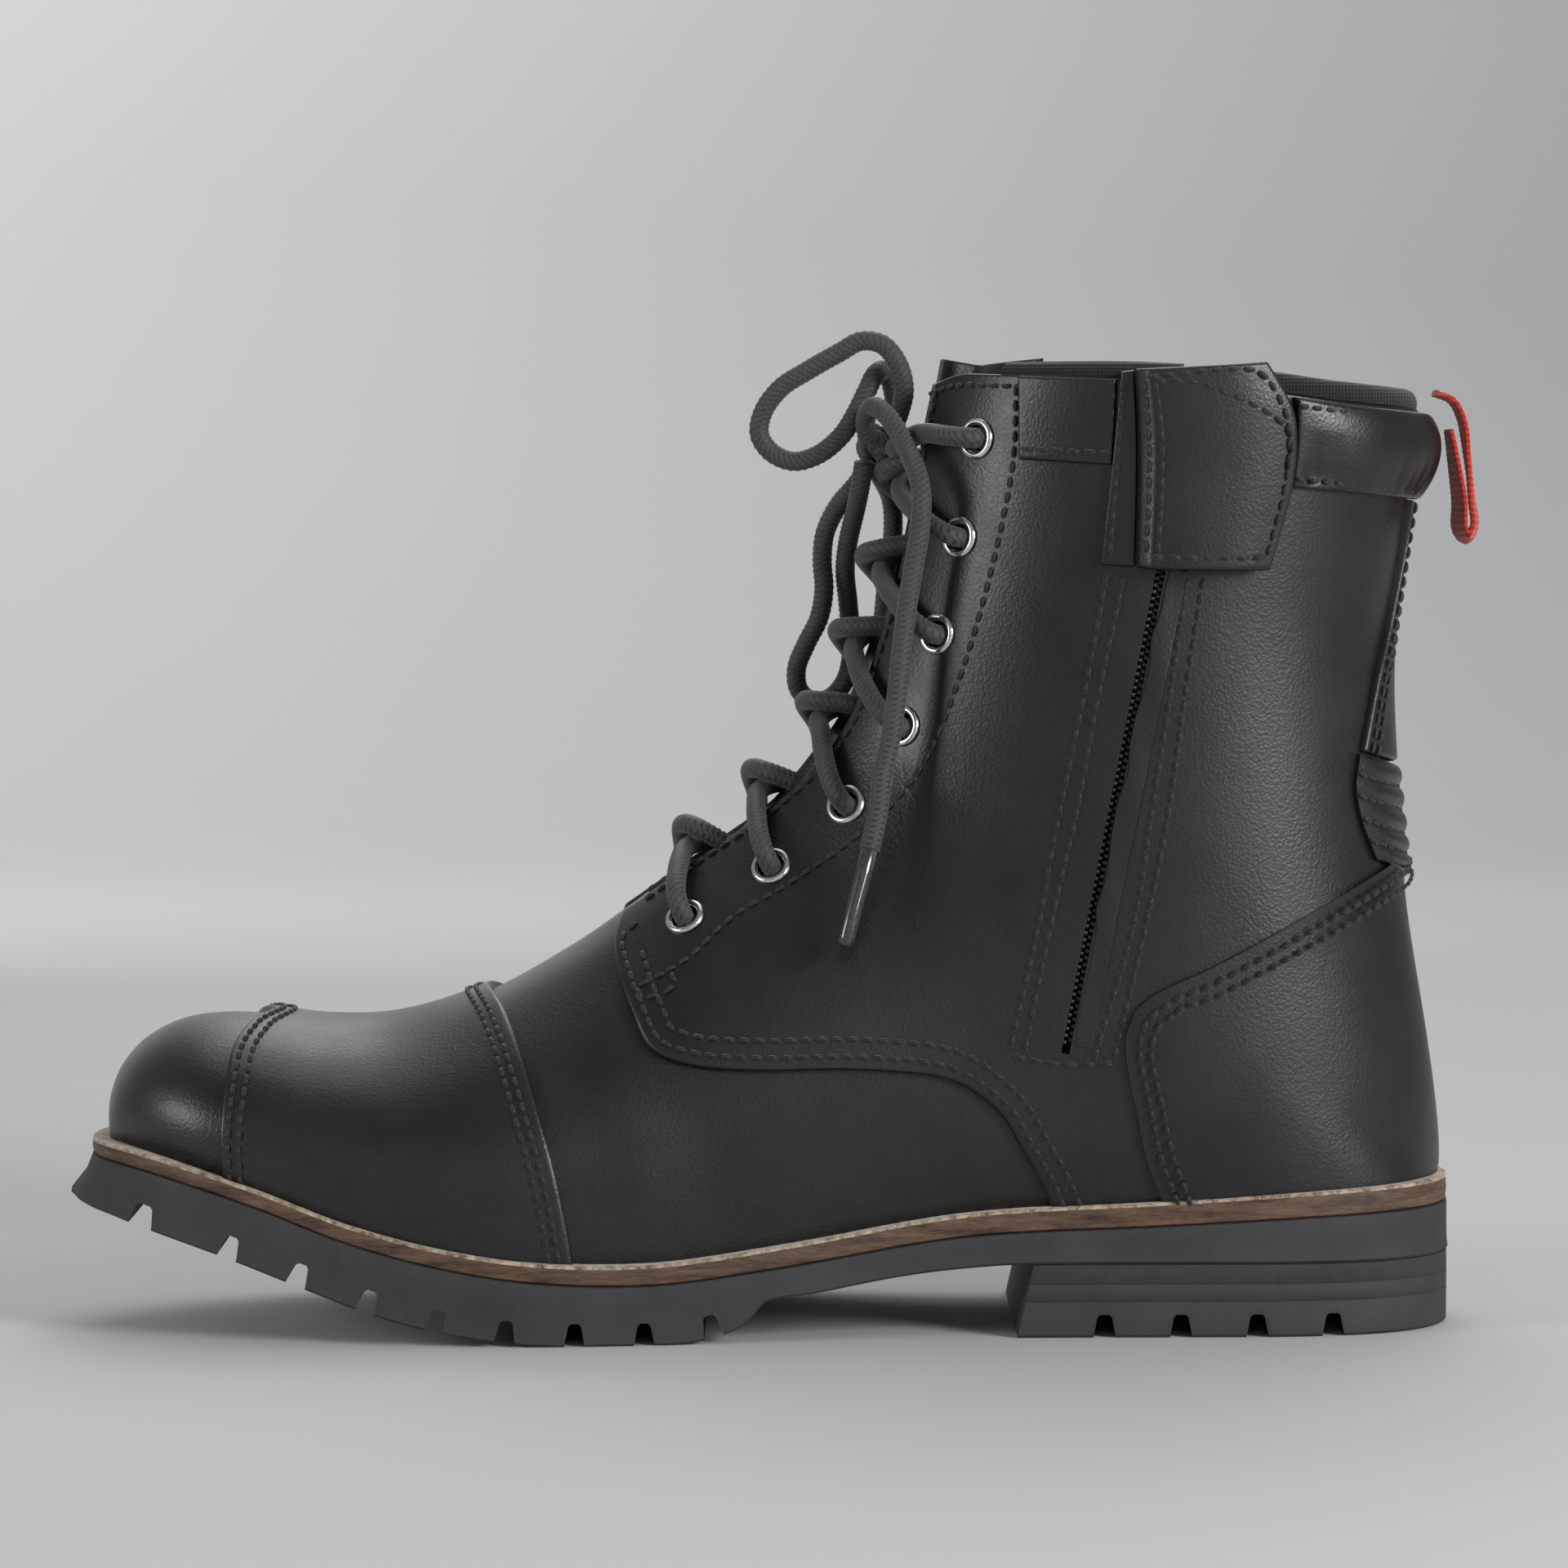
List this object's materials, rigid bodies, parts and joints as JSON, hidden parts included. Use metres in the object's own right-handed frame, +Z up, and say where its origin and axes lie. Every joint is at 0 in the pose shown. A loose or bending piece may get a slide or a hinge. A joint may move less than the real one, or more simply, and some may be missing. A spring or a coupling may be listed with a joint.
{
  "type": "leather lace-up boot",
  "caption": "Black leather lace-up ankle boot with a side zip, hook-and-loop tab, toe pad, heel counter, padded collar, lugged rubber sole and webbing heel pull.",
  "frame": {"origin": "on the floor under the middle of the boot's bounding box, measured without the laces", "axes": "+X from toe to heel, -Y out of the zip side (the inner side of a right boot), +Z up"},
  "size_m": [0.3108, 0.1094, 0.2181],
  "materials": {
    "leather": "satin, fine grain",
    "lining": "matt",
    "rubber": "matt",
    "midsole": "streaked, satin",
    "board": "matt board",
    "steel": "brushed",
    "nickel": "polished",
    "textile": "matt weave",
    "webbing": "ribbed webbing",
    "lace": "braided",
    "aglet": "clear, glossy"
  },
  "bodies": {
    "boot": {"outsole": "rubber", "heel_block": "rubber", "midsole": "midsole", "shank": "steel", "insole_board": "board", "footbed": "lining", "toe_cap": "leather", "toe_puff": "board", "shift_pad": "leather", "vamp": "leather", "vamp_lining": "lining", "tongue": "leather", "quarter_medial": "leather", "eyelet_facing_medial": "leather", "lining_medial": "lining", "eyelet_medial_1": "nickel", "eyelet_medial_2": "nickel", "eyelet_medial_3": "nickel", "eyelet_medial_4": "nickel", "eyelet_medial_5": "nickel", "eyelet_medial_6": "nickel", "eyelet_medial_7": "nickel", "quarter_lateral": "leather", "eyelet_facing_lateral": "leather", "lining_lateral": "lining", "eyelet_lateral_1": "nickel", "eyelet_lateral_2": "nickel", "eyelet_lateral_3": "nickel", "eyelet_lateral_4": "nickel", "eyelet_lateral_5": "nickel", "eyelet_lateral_6": "nickel", "eyelet_lateral_7": "nickel", "heel_counter": "leather", "heel_stiffener": "board", "back_strip": "leather", "flex_panel": "leather", "collar_front": "leather", "collar_rear": "leather", "rim_binding_front": "textile", "rim_binding_rear": "textile", "zip_tape_front": "textile", "zip_tape_rear": "textile", "zip_coil_front": "textile", "zip_coil_rear": "textile", "tab_anchor": "leather", "tab_loop_patch": "textile", "lace_inner": "lace", "lace_outer": "lace", "lace_knot": "lace", "lace_loop_high": "lace", "lace_loop_low": "lace", "lace_end_medial": "lace", "lace_end_lateral": "lace", "aglet_medial": "aglet", "aglet_lateral": "aglet"},
    "zip_slider": {"zip_slider": "nickel"},
    "zip_pull": {"zip_pull": "nickel"},
    "tab": {"tab_flap": "leather", "tab_hook_patch": "textile"},
    "heel_pull": {"heel_pull": "webbing"}
  },
  "joints": [
    {"name": "tab_open", "type": "hinge", "parent": "boot", "child": "tab", "pos_m": [0.07762, -0.04565, 0.1882], "axis": [0.0111, 0.0237, -0.9997], "range_deg": [0, 120]},
    {"name": "zip_slide", "type": "slide", "parent": "boot", "child": "zip_slider", "axis": [-0.191, 0.0228, -0.9813], "range_m": [0, 0.1177]},
    {"name": "zip_pull_swing", "type": "hinge", "parent": "zip_slider", "child": "zip_pull", "pos_m": [0.08901, -0.0465, 0.1964], "axis": [-0.9816, 0, 0.1911], "range_deg": [0, 40]},
    {"name": "heel_pull_swing", "type": "hinge", "parent": "boot", "child": "heel_pull", "pos_m": [0.14535, 0.00014, 0.2044], "axis": [0, -1, 0], "range_deg": [0, 150]}
  ],
  "couplings": [
    {"joint": "zip_pull_swing", "follows": "tab_open", "ratio": 0.3}
  ]
}
